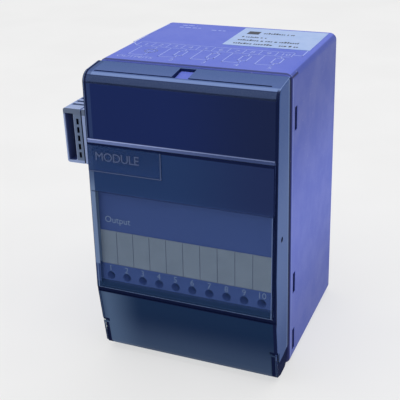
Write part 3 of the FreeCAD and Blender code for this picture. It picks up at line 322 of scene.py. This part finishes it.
def cover_colour(g, m, haze, grain):
    """The cover's tint, region by region and then line by line, much of it painted light and shade."""
    # Painted shade: the upper and middle zones darken towards the right, and the upper zone takes the dark of
    # the shaded bay behind it.
    rightward_shade = g.span(m.across, -5.0, 26.0)
    ledge_highlight_fade = g.span(m.across, -26.0, 20.0)
    upper_shade_tint = g.mix(rightward_shade, (0.014, 0.027, 0.118), (0.014, 0.023, 0.078))
    middle_tint = g.mix(rightward_shade, (0.022, 0.050, 0.150), (0.020, 0.034, 0.112))
    flap_tint = g.mix(g.span(m.above, 2.0, 20.0), (0.006, 0.014, 0.052), (0.010, 0.028, 0.078))
    top_tint = g.mix(g.span(m.ahead, 0.5, 8.0), (0.070, 0.118, 0.292), (0.082, 0.130, 0.318))
    # Painted highlight colours for the ledge lines, fading towards the right.
    ledge_highlight_tint = g.mix(ledge_highlight_fade, (0.400, 0.480, 0.820), (0.180, 0.230, 0.440))
    ledge_low_highlight_tint = g.mix(ledge_highlight_fade, (0.150, 0.200, 0.420), (0.050, 0.075, 0.190))
    # Painted light and shade among these layers: the flap's lit left part, the rolled edge's shade, the ridge
    # highlight, the side wall's shading, the left highlight strip, the edge highlights and lights, the ledge
    # highlights, the corner light and the edge and panel edge shade.
    layers = (
        (m.upper, upper_shade_tint),
        (m.middle, middle_tint),
        (m.flap, flap_tint),
        (m.flap_glow, (0.082, 0.132, 0.235)),
        (m.top, top_tint),
        (m.roll, (0.040, 0.062, 0.145)),
        (m.crest, (0.180, 0.258, 0.510)),
        # Painted light and shade on the side wall: lighter in the middle, darker towards the top and the
        # bottom.
        (m.outer_side, g.mix(m.ends, (0.098, 0.156, 0.350), (0.060, 0.106, 0.275))),
        (g.math("MULTIPLY", m.low_side, 0.6), (0.045, 0.080, 0.210)),
        (m.left_strip, (0.175, 0.250, 0.420)),
        (m.holes, (0.034, 0.062, 0.180)),
        (m.foot, (0.013, 0.033, 0.090)),
        (m.bright, (0.170, 0.245, 0.430)),
        (g.math("MULTIPLY", m.edge_glow, 0.6), (0.040, 0.070, 0.180)),
        (m.ledge_line, ledge_highlight_tint),
        (m.ledge_low, ledge_low_highlight_tint),
        (m.corner_glow, (0.060, 0.090, 0.190)),
        (g.math("MULTIPLY", m.panel_edge, 0.7), (0.010, 0.018, 0.070)),
        (m.dark_edge, (0.006, 0.011, 0.048)),
    )
    colour = g.mix(g.span(haze, 0.35, 0.7), (0.012, 0.019, 0.066), (0.015, 0.025, 0.074))
    for mask, tint in layers:
        colour = g.mix(mask, colour, tint)
    frosting = g.both(g.either(m.top, m.outer_side), g.span(grain, 0.4, 0.7, 0.0, 0.06))
    return g.mix(frosting, colour, (0.30, 0.36, 0.50), "SCREEN")


def see_through(g, tint, share, skin):
    """A shader mixed from clear plastic and a solid skin."""
    clear = g.add("ShaderNodeBsdfTransparent")
    g.feed(clear.inputs["Color"], tint)
    mixer = g.add("ShaderNodeMixShader")
    g.feed(mixer.inputs[0], share)
    g.link(clear.outputs[0], mixer.inputs[1])
    g.link(skin.outputs[0], mixer.inputs[2])
    return mixer


def smoked():
    """Smoke-blue clear plastic.

    The front lets light through. The top, the sides and the rolled front edge are
    grained and nearly solid, and carry painted light and shade. Painted shade darkens the
    edges and gaps, with thin painted highlights beside them.
    """
    g = Graph("smoked_cover")
    haze = g.noise(14.0, 3.0, 0.55)
    scuff = g.span(g.noise(2.2, 6.0, 0.75, g.stretch((1.0, 1.0, 5.0))), 0.63, 0.74)
    ripple = g.noise(6.0, 1.0, 0.4)
    grain = g.noise(0.25, 2.0, 0.6)
    m = cover_regions(g)
    cover_lines(g, m)

    solid = g.either(
        g.either(m.top, m.outer_side, m.flap, m.ledge_line, m.ledge_low, m.dark_edge),
        g.math("MULTIPLY", m.foot, 0.85),
        g.math("MULTIPLY", m.upper, 0.90),
        g.math("MULTIPLY", m.middle, 0.88),
        g.math("MULTIPLY", m.holes, 0.25),
        g.math("MULTIPLY", m.left_strip, 0.9),
        g.math("MULTIPLY", g.either(m.bright, m.corner_glow), 0.75),
        g.math("MULTIPLY", m.panel_edge, 0.5),
    )
    share = g.math("ADD", g.math("MULTIPLY", solid, 0.99), g.math("MULTIPLY", scuff, 0.02))
    share = g.math("MAXIMUM", share, 0.12)

    roughness = g.math("ADD", g.span(haze, 0.3, 0.7, 0.16, 0.24), g.math("MULTIPLY", scuff, 0.16))
    roughness = g.math("ADD", roughness, g.math("MULTIPLY", g.either(m.top, m.outer_side), 0.25))
    roughness = g.math("ADD", roughness, g.math("MULTIPLY", m.heel, 0.5))
    normal = g.bump(grain, 0.03, 0.01, g.bump(ripple, 0.05, 0.2))
    skin = g.surface(cover_colour(g, m, haze, grain), roughness, normal, Specular_IOR_Level=0.015)
    return g.finish(see_through(g, (0.82, 0.87, 0.87), share, skin))


def clear_film(name, colour, share):
    """Thin tinted film that lets most light through."""
    g = Graph(name)
    blotch = g.noise(3.0, 3.0, 0.6)
    patchy = g.mix(g.span(blotch, 0.3, 0.7), colour, tuple(c * 0.85 for c in colour))
    skin = g.surface(patchy, g.span(blotch, 0.3, 0.7, 0.3, 0.4), g.bump(blotch, 0.1, 0.01),
                     Specular_IOR_Level=0.2)
    share_here = g.span(blotch, 0.3, 0.7, share * 0.85, share * 1.1)
    return g.finish(see_through(g, (0.97, 0.98, 0.99), share_here, skin))


def board_laminate():
    """Green solder mask over copper tracks."""
    g = Graph("board_laminate")
    brick = g.add("ShaderNodeTexBrick")
    g.link(g.place, brick.inputs["Vector"])
    brick.inputs["Scale"].default_value = 420.0
    brick.inputs["Mortar Size"].default_value = 0.035
    tracks = g.span(brick.outputs["Fac"], 0.3, 0.7)
    weave = g.noise(0.25, 2.0, 0.6)
    base = g.mix(tracks, (0.010, 0.070, 0.035), (0.030, 0.150, 0.070))
    base = g.mix(g.span(weave, 0.4, 0.7, 0.0, 0.2), base, (0.05, 0.11, 0.05))
    normal = g.bump(tracks, 0.3, 0.03)
    return g.finish(g.surface(base, g.span(weave, 0.3, 0.7, 0.3, 0.45), normal))


def label_film(name, colour, shade, rough=(0.35, 0.5)):
    """Printed film: faint fibres, slight yellowing at blotches."""
    g = Graph(name)
    blotch = g.noise(5.0, 4.0, 0.6)
    fibre = g.noise(0.4, 3.0, 0.7, g.stretch((1.0, 3.0, 1.0)))
    base = g.mix(g.span(blotch, 0.35, 0.7), colour, shade)
    base = g.mix(g.span(fibre, 0.5, 0.75, 0.0, 0.18), base, tuple(c * 0.8 for c in shade))
    normal = g.bump(fibre, 0.12, 0.02)
    return g.finish(g.surface(base, g.span(blotch, 0.3, 0.7, rough[0], rough[1]), normal))


def housing_zones(g):
    """Painted shade on the front rim, in the snap slots and on the side walls; a thin painted highlight
    beside the rim.
    """
    across, ahead, above = g.place_mm()
    toward_x, _, toward_z = g.facing()
    flank = g.span(g.math("ABSOLUTE", toward_x), 0.5, 0.7)
    # Painted shade on the front rim, beside the gap to the cover.
    top_rim_shade = g.both(g.span(ahead, -1.35, -1.15), g.span(toward_z, 0.5, 0.7))
    side_rim_shade = g.both(g.span(ahead, -0.95, -0.8), flank)
    # Painted highlight: a thin light line on the side walls just behind the rim.
    line = g.both(g.within(ahead, -1.6, -1.25, 0.06), flank)
    inside_wall = g.below(g.math("ABSOLUTE", across), HOUSING_HALF - 0.2, HOUSING_HALF - 0.05)
    # Painted shade inside the snap slots.
    slot_shade = g.both(inside_wall, g.span(ahead, -6.2, -6.0), g.below(above, 85.0, 85.3))
    # Painted shade on the side walls, darker towards the top and the bottom.
    side_shade = g.either(g.span(above, 44.0, 80.0, 0.12, 0.90), g.span(above, 3.0, 42.0, 0.85, 0.12))
    return ((g.both(flank, side_shade), (0.050, 0.078, 0.355)),
            (g.math("MULTIPLY", line, 0.6), (0.22, 0.28, 0.62)),
            (g.math("MULTIPLY", g.either(top_rim_shade, side_rim_shade), 0.8), (0.020, 0.030, 0.110)),
            (slot_shade, (0.012, 0.018, 0.110)))


def carrier_zones(g):
    """Painted shade in navy above the panel and on the outer faces; paler violet on the panel."""
    across, _, above = g.place_mm()
    high = g.span(above, PANEL_LEVEL, PANEL_LEVEL + 0.2)
    outer = g.span(g.math("ABSOLUTE", across), 25.6, 25.8)
    # Painted shade: navy above the panel and on the outer faces of the side plates.
    return ((1.0, (0.140, 0.195, 0.580)), (g.either(high, outer), (0.014, 0.022, 0.105)))


def plug_zones(g):
    """Painted shade: shaded front face and brow, navy bay, near-black slots; light rim at the left."""
    across, ahead, above = g.place_mm()
    _, toward_y, _ = g.facing()
    face = g.below(toward_y, -0.8, -0.6)
    recessed = g.below(ahead, -1.68, -1.58)
    # Painted shade in the recessed bay.
    bay = g.both(g.below(ahead, -2.2, -1.8), g.within(across, -40.3, -37.4, 0.1),
                 g.below(above, 69.0, 69.2))
    # Painted shade, near black, in the recessed contact slot and groove.
    slot_shade = g.both(recessed, g.within(across, -36.75, -35.75, 0.03), g.within(above, 55.0, 69.0))
    groove_shade = g.both(recessed, g.within(across, -35.15, -34.65, 0.03), g.below(above, 69.6, 69.8))
    shaded = g.both(face, g.span(above, 54.6, 54.8), g.within(across, -37.4, -34.9))
    # Painted shade under the brow at the top of the face.
    brow_shade = g.both(face, g.span(above, 68.4, 68.6))
    return ((shaded, (0.110, 0.160, 0.270)), (brow_shade, (0.100, 0.140, 0.230)), (bay, (0.034, 0.056, 0.200)),
            (g.either(slot_shade, groove_shade), (0.006, 0.010, 0.024)))


VIOLET_LIGHT, VIOLET_SHADE = (0.112, 0.156, 0.610), (0.106, 0.149, 0.590)
VIOLET = moulded("violet_plastic", VIOLET_LIGHT, VIOLET_SHADE, (0.46, 0.56), 0.08, 0.20, 0.3,
                 Specular_IOR_Level=0.25)
SHELL = moulded("housing_plastic", VIOLET_LIGHT, VIOLET_SHADE, (0.46, 0.56), 0.08, 0.20, 0.15, housing_zones,
                Specular_IOR_Level=0.25)
CARRIER = moulded("carrier_plastic", VIOLET_LIGHT, VIOLET_SHADE, (0.50, 0.60), 0.06, 0.20, 0.0, carrier_zones,
                  Specular_IOR_Level=0.25)
DARK = moulded("dark_plastic", (0.018, 0.024, 0.060), (0.012, 0.017, 0.045), (0.4, 0.55), 0.14)
BLACK = moulded("black_plastic", (0.020, 0.020, 0.023), (0.013, 0.013, 0.016), (0.45, 0.65), 0.15)
BLOCK = moulded("terminal_plastic", (0.090, 0.140, 0.380), (0.080, 0.125, 0.340), (0.4, 0.55), 0.14)
GREY = moulded("grey_plastic", (0.300, 0.390, 0.640), (0.260, 0.340, 0.580), (0.40, 0.52), 0.12, 0.22, 0.2,
               plug_zones)
FERRITE = moulded("ferrite", (0.055, 0.055, 0.060), (0.035, 0.035, 0.040), (0.6, 0.8), 0.3)
CERAMIC = moulded("ceramic", (0.260, 0.190, 0.120), (0.160, 0.120, 0.085), (0.5, 0.7), 0.2)
ZINC = metal("zinc_steel", (0.62, 0.64, 0.67))
BLUED = metal("terminal_zinc", (0.50, 0.62, 0.90), (0.40, 0.55), stain=(0.30, 0.36, 0.55))
SPRING = metal("spring_steel", (0.50, 0.51, 0.53), (0.25, 0.4))
GOLD = metal("gold_contact", (0.90, 0.68, 0.30), (0.15, 0.3), stain=(0.5, 0.36, 0.15))
TIN = metal("tin_contact", (0.70, 0.70, 0.68), (0.3, 0.5))
ALUMINIUM = metal("can_aluminium", (0.72, 0.73, 0.75), (0.25, 0.4))
STRIP = label_film("label_film", (0.52, 0.53, 0.70), (0.48, 0.49, 0.65))
SILVER = label_film("silver_label", (0.36, 0.49, 0.80), (0.33, 0.46, 0.76))
NAME = clear_film("name_film", (0.026, 0.075, 0.260), 0.34)
# Painted shade: the blank plate's dark navy stands in for the shade deep in the upper bay.
BAY_SHADE = moulded("bay_painted_shade", (0.022, 0.036, 0.180), (0.020, 0.033, 0.168), (0.5, 0.6), 0.02, 0.3,
                Specular_IOR_Level=0.2)
LAMINATE = board_laminate()
SMOKED = smoked()
WHITE_INK = printed("white_ink", (0.31, 0.39, 0.84))
DARK_INK = printed("dark_ink", (0.020, 0.030, 0.055))
RULE_INK = printed("rule_ink", (0.200, 0.210, 0.350))
PANEL_INK = printed("panel_ink", (0.52, 0.58, 0.88))
NAME_INK = printed("name_ink", (0.055, 0.082, 0.180))

MATERIALS = {
    VIOLET: ("rear_base", "cover_latch"),
    SHELL: ("housing_shell",),
    CARRIER: ("terminal_carrier",),
    DARK: ("rail_latch",),
    BAY_SHADE: ("bay_blank_plate",),
    BLACK: ("stack_connector", "microcontroller", "output_drivers", "isolators", "dc_converter",
            "voltage_regulator", "bus_plug_insulator", "bus_header"),
    BLOCK: ("terminal_block",),
    GREY: ("bus_plug_shell",),
    FERRITE: ("power_choke",),
    CERAMIC: ("small_components",),
    ZINC: ("base_screws", "board_screws", "terminal_clamps"),
    BLUED: ("terminal_screws",),
    SPRING: ("rail_latch_spring",),
    GOLD: ("stack_pins", "bus_plug_contacts", "bus_header_pins"),
    TIN: ("terminal_pins",),
    ALUMINIUM: ("electrolytic_capacitors",),
    STRIP: ("label_strip",),
    SILVER: ("rating_label",),
    NAME: ("name_plate",),
    LAMINATE: ("main_board", "output_board"),
    SMOKED: ("front_cover",),
}

# Width of the small bevels, in millimetres.
BEVELS = {
    "housing_shell": 0.12, "rear_base": 0.2, "terminal_carrier": 0.12, "cover_latch": 0.15,
    "front_cover": 0.14, "rail_latch": 0.2, "bus_plug_shell": 0.12, "terminal_block": 0.12,
    "name_plate": 0.05, "bay_blank_plate": 0.15, "terminal_screws": 0.08, "base_screws": 0.1,
}
BEVEL_ANGLE = math.radians(35)
SMOOTH_ANGLE = math.radians(32)


def dress_nodes():
    """Give every CAD node its material and a small bevel where it shows."""
    for material, names in MATERIALS.items():
        for name in names:
            piece = NODES[name]
            piece.data.materials.clear()
            piece.data.materials.append(material)
            if name in BEVELS:
                bevel = piece.modifiers.new("edges", "BEVEL")
                bevel.width = BEVELS[name] * MM
                bevel.segments = 2
                bevel.limit_method = "ANGLE"
                bevel.angle_limit = BEVEL_ANGLE
            for face in piece.data.polygons:
                face.use_smooth = True
            piece.data.set_sharp_from_angle(angle=SMOOTH_ANGLE)


# ---------------------------------------------------------------- printed marks
CAPITAL_SHARE = 0.70  # height of a capital as a share of the font size
DIGIT_HALF = 0.62     # half the width of a digit in a row of numbers


class Print:
    """Flat marks drawn as thin raised shapes on a plane given by an origin and two directions."""

    def __init__(self, name, material, origin, across, up, lift=0.03, thick=0.02):
        self.name = name
        self.material = material
        self.mesh = bmesh.new()
        self.origin = Vector(origin)
        self.across = Vector(across).normalized()
        self.up = Vector(up).normalized()
        self.out = self.across.cross(self.up)
        self.lift = lift
        self.thick = thick

    def point(self, u, v, height):
        return (self.origin + self.across * u + self.up * v + self.out * height) * MM

    def polygon(self, corners):
        """A thin prism over a convex outline that runs anticlockwise."""
        low = [self.mesh.verts.new(self.point(u, v, self.lift - self.thick)) for u, v in corners]
        high = [self.mesh.verts.new(self.point(u, v, self.lift)) for u, v in corners]
        self.mesh.faces.new(high)
        self.mesh.faces.new(list(reversed(low)))
        count = len(corners)
        for index in range(count):
            after = (index + 1) % count
            self.mesh.faces.new((low[index], low[after], high[after], high[index]))

    def line(self, start, end, width=0.3):
        """A straight stroke with square ends."""
        a, b = Vector(start), Vector(end)
        along = (b - a).normalized() * width / 2
        side = Vector((-along.y, along.x))
        corners = (a - along - side, b + along - side, b + along + side, a - along + side)
        self.polygon([(c.x, c.y) for c in corners])

    def path(self, points, width=0.3, closed=False):
        points = list(points) + ([points[0]] if closed else [])
        for start, end in zip(points, points[1:]):
            self.line(start, end, width)

    def ring(self, centre, radius, width=0.3, steps=20):
        turns = [2 * math.pi * index / steps for index in range(steps)]
        points = [(centre[0] + radius * math.cos(t), centre[1] + radius * math.sin(t)) for t in turns]
        self.path(points, width, True)

    def rectangle(self, low, high):
        self.polygon([(low[0], low[1]), (high[0], low[1]), (high[0], high[1]), (low[0], high[1])])

    def text(self, words, corner, height, spread=1.0):
        """Letters as flat meshes; corner is the lower left and height the capital height."""
        curve = bpy.data.curves.new("letters", "FONT")
        curve.body = words
        curve.size = height / CAPITAL_SHARE
        curve.space_character = spread
        curve.resolution_u = 3
        holder = bpy.data.objects.new("letters", curve)
        bpy.context.scene.collection.objects.link(holder)
        graph = bpy.context.evaluated_depsgraph_get()
        flat = bpy.data.meshes.new_from_object(holder.evaluated_get(graph))
        for vertex in flat.vertices:
            vertex.co = self.point(corner[0] + vertex.co.x, corner[1] + vertex.co.y, self.lift)
        self.mesh.from_mesh(flat)
        bpy.data.objects.remove(holder)
        bpy.data.curves.remove(curve)
        bpy.data.meshes.remove(flat)

    def finish(self, body):
        data = bpy.data.meshes.new(self.name)
        self.mesh.to_mesh(data)
        self.mesh.free()
        data.materials.append(self.material)
        piece = bpy.data.objects.new(self.name, data)
        bpy.context.scene.collection.objects.link(piece)
        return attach(piece, body)


def circuit(ink, number, x, row_low):
    """One output circuit under the terminal row: a lamp for the first and a load for the others."""
    wire_low, load_low, load_high, load_half = 6.5, 8.6, 13.4, 1.15
    load_x = x + 4.75
    ink.path([(x, row_low), (x, wire_low), (load_x, wire_low), (load_x, load_low)], 0.26)
    ink.line((load_x, load_high), (load_x, row_low), 0.26)
    if number > 1:
        ink.path([(load_x - load_half, load_low), (load_x + load_half, load_low),
                  (load_x + load_half, load_high), (load_x - load_half, load_high)], 0.3, True)
    else:
        centre, arm = 11.0, 1.2
        ink.ring((load_x, centre), 1.75, 0.3)
        ink.path([(load_x - arm, centre), (load_x, centre + arm), (load_x + arm, centre),
                  (load_x, centre - arm)], 0.22, True)
    ink.text(str(number), (load_x - 0.6, 3.4), 1.9)


def top_print():
    """Wiring diagram printed on the top: terminal row, five circuits and their numbers."""
    ink = Print("top_diagram", WHITE_INK, (0, FRONT_Y, TOP_Z), (1, 0, 0), (0, 1, 0))
    ink.path([(-25.3, 41.5), (-25.9, 19.0), (-23.8, 16.2)], 0.34)
    row_low, row_high = 15.3, 19.6
    row_left, row_right = -23.4, 22.0
    cell = (row_right - row_left) / POLES
    ink.path([(row_left, row_low), (row_right, row_low), (row_right, row_high), (row_left, row_high)],
             0.24, True)
    for index in range(POLES):
        x = row_left + cell * index
        if index:
            ink.line((x, row_low), (x, row_high), 0.22)
        words = str(index + 1)
        ink.text(words, (x + cell / 2 - DIGIT_HALF * len(words), row_low + 1.1), 2.0)
    ink.path([(row_right, 17.4), (24.6, 17.4), (24.6, 22.6)], 0.34)
    for number, x in enumerate((-21.3, -12.3, -3.0, 6.0, 15.0), start=1):
        circuit(ink, number, x, row_low)
    ink.text("OUTPUTS", (-23.6, 3.5), 1.7)
    for low, high, v in ((-20.5, -13.5, 38.6), (-9.5, -4.5, 37.4), (-20.5, -15.5, 41.0)):
        u = low
        while u < high:
            width = RNG.uniform(0.8, 2.0)
            ink.rectangle((u, v), (min(u + width, high), v + 0.7))
            u += width + RNG.uniform(0.35, 0.7)
    return ink.finish("module")


def rating_print():
    """Marks on the rating label: a mark and rows of bars in place of words."""
    ink = Print("rating_marks", DARK_INK, (0, FRONT_Y, TOP_Z + 0.12), (1, 0, 0), (0, 1, 0), 0.02, 0.015)
    ink.rectangle((2.3, 35.8), (5.9, 39.0))
    rows = ((7.2, 16.4, 36.9, 1.5), (2.2, 9.6, 31.9, 1.2), (2.2, 20.4, 28.3, 1.5),
            (2.2, 13.8, 24.6, 1.4), (15.6, 21.8, 24.6, 1.4))
    shortest = 0.3
    for low, high, v, height in rows:
        u = low
        while u < high - shortest:
            width = min(RNG.uniform(0.35, 0.75), high - u)
            tall = height * RNG.choice((0.66, 0.66, 0.72, 1.0))
            ink.rectangle((u, v), (u + width, v + tall))
            u += width + RNG.choice((0.22, 0.22, 0.25, 0.7))
    return ink.finish("module")


# The leaning panel and the window: forward distance and level of their top and bottom edges.
PANEL_TOP = (9.3, 52.1)
PANEL_BOTTOM = (10.55, 23.2)
WINDOW_TOP = (10.65, 66.0)
WINDOW_FOOT = (12.15, 22.8)

# Along the slope from the underside: the marking strip's fields and the name tile's rim.
STRIP_LOW, STRIP_HIGH = 29.95, 39.85
TILE_LOW, TILE_HIGH = 58.2, 65.3
TILE_LEFT, TILE_RIGHT = -26.0, -4.75


def leaning(high, low):
    """Origin at the underside's level and upward direction of a plane through two edges."""
    slope = (low[0] - high[0]) / (high[1] - low[1])
    up = Vector((0, slope, 1)).normalized()
    forward = low[0] + low[1] * slope
    return Vector((0, FRONT_Y - forward, BOTTOM_Z)), up


def panel_print():
    """Word and pole numbers on the terminal panel."""
    origin, up = leaning(PANEL_TOP, PANEL_BOTTOM)
    ink = Print("panel_marks", PANEL_INK, origin, (1, 0, 0), up, 0.04, 0.03)
    ink.text("Output", (-23.4, 42.6), 1.85)
    for index in range(POLES):
        x = (index - (POLES - 1) / 2) * PITCH
        words = str(index + 1)
        ink.text(words, (x - DIGIT_HALF * len(words), 27.5), 1.8)
    return ink.finish("module")


def strip_print():
    """Thin dividers between the fields of the marking strip."""
    origin, up = leaning(PANEL_TOP, PANEL_BOTTOM)
    ink = Print("strip_dividers", RULE_INK, origin, (1, 0, 0), up, 0.20, 0.02)
    for index in range(1, POLES):
        x = (index - POLES / 2) * PITCH
        ink.line((x, STRIP_LOW), (x, STRIP_HIGH), 0.16)
    return ink.finish("module")


def name_print():
    """Word and rim lines on the name tile."""
    origin, up = leaning(WINDOW_TOP, WINDOW_FOOT)
    ink = Print("name_marks", NAME_INK, origin, (1, 0, 0), up, 0.23, 0.03)
    ink.text("MODULE", (-24.0, 61.4), 2.4, 0.92)
    ink.line((TILE_RIGHT, TILE_LOW), (TILE_RIGHT, TILE_HIGH), 0.2)
    ink.line((TILE_LEFT, TILE_LOW), (TILE_RIGHT, TILE_LOW), 0.2)
    return ink.finish("cover")


# ---------------------------------------------------------------- stage and camera
def area_light(name, place, target, size, power):
    """A rectangular soft light aimed at a point; places in metres."""
    data = bpy.data.lights.new(name, "AREA")
    data.shape = "RECTANGLE"
    data.size, data.size_y = size
    data.energy = power
    light = bpy.data.objects.new(name, data)
    light.location = place
    light.rotation_mode = "QUATERNION"
    light.rotation_quaternion = (Vector(target) - Vector(place)).to_track_quat("-Z", "Y")
    bpy.context.scene.collection.objects.link(light)


def floor_material():
    """Pale matte floor with a trace of tone; part of its light is its own, so shadows stay soft."""
    g = Graph("floor")
    tone = g.noise(60.0, 2.0, 0.5)
    base = g.mix(g.span(tone, 0.3, 0.7), (0.30, 0.30, 0.30), (0.31, 0.31, 0.31))
    skin = g.surface(base, g.span(tone, 0.3, 0.7, 0.75, 0.85), Specular_IOR_Level=0.0)
    g.feed(skin.inputs["Emission Color"], (1.0, 1.0, 1.0))
    g.feed(skin.inputs["Emission Strength"], g.span(tone, 0.3, 0.7, 0.550, 0.560))
    return g.finish(skin)


HORIZON_LIGHT, OVERHEAD_LIGHT = 0.42, 1.05
FLOOR_RADIUS = 6.0    # metres
FLOOR_GAP = 0.1       # millimetres under the housing


def surroundings():
    """Studio light from all round, brighter overhead than at the horizon."""
    world = bpy.data.worlds.new("studio")
    world.use_nodes = True
    nodes, links = world.node_tree.nodes, world.node_tree.links
    background = nodes["Background"]
    background.inputs["Color"].default_value = (0.96, 0.96, 0.96, 1.0)
    direction = nodes.new("ShaderNodeTexCoord")
    split = nodes.new("ShaderNodeSeparateXYZ")
    height = nodes.new("ShaderNodeMapRange")
    height.inputs["From Min"].default_value = 0.0
    height.inputs["From Max"].default_value = 0.8
    height.inputs["To Min"].default_value = HORIZON_LIGHT
    height.inputs["To Max"].default_value = OVERHEAD_LIGHT
    links.new(direction.outputs["Generated"], split.inputs[0])
    links.new(split.outputs["Z"], height.inputs["Value"])
    links.new(height.outputs["Result"], background.inputs["Strength"])
    bpy.context.scene.world = world


def build_stage():
    """Floor, even surrounding light and soft lamps above, right and left."""
    mesh = bmesh.new()
    bmesh.ops.create_circle(mesh, cap_ends=True, segments=64, radius=FLOOR_RADIUS)
    data = bpy.data.meshes.new("floor")
    mesh.to_mesh(data)
    mesh.free()
    data.materials.append(floor_material())
    floor = bpy.data.objects.new("floor", data)
    floor.location = (0, 0, (BOTTOM_Z - FLOOR_GAP) * MM)
    bpy.context.scene.collection.objects.link(floor)
    surroundings()
    area_light("overhead", (0.05, -0.05, 0.75), (0, 0, 0), (0.7, 0.7), 1.35)
    area_light("right_fill", (0.24, -0.07, 0.012), (0.027, -0.030, 0.0), (0.12, 0.05), 0.040)
    area_light("left_rim", (-0.55, -0.45, 0.30), (0, -0.05, 0), (0.25, 0.5), 0.2)


CAMERA_PLACE = Vector((82.917, -230.363, 100.494)) * MM
CAMERA_AZIMUTH = math.radians(22.4906)
CAMERA_ELEVATION = math.radians(23.4996)
CAMERA_ROLL = math.radians(-1.6625)
CAMERA_LENS = 73.644
CAMERA_SHIFT = (-0.04, -0.06)


def build_camera():
    """Camera at the reference viewing angle."""
    level_part = math.cos(CAMERA_ELEVATION)
    back = Vector((math.sin(CAMERA_AZIMUTH) * level_part, -math.cos(CAMERA_AZIMUTH) * level_part,
                   math.sin(CAMERA_ELEVATION)))
    right = Vector((0, 0, 1)).cross(back).normalized()
    upward = back.cross(right)
    turned_right = right * math.cos(CAMERA_ROLL) + upward * math.sin(CAMERA_ROLL)
    turned_up = upward * math.cos(CAMERA_ROLL) - right * math.sin(CAMERA_ROLL)
    pose = Matrix((turned_right, turned_up, back)).transposed().to_4x4()
    pose.translation = CAMERA_PLACE
    data = bpy.data.cameras.new("camera")
    data.lens = CAMERA_LENS
    data.sensor_width = 36.0
    data.shift_x, data.shift_y = CAMERA_SHIFT
    data.clip_start, data.clip_end = 0.01, 20.0
    data.dof.use_dof = False
    camera = bpy.data.objects.new("camera", data)
    camera.matrix_world = pose
    bpy.context.scene.collection.objects.link(camera)
    bpy.context.scene.camera = camera


dress_nodes()
top_print()
rating_print()
panel_print()
strip_print()
name_print()
build_stage()
build_camera()
bpy.context.scene.view_settings.view_transform = "Standard"
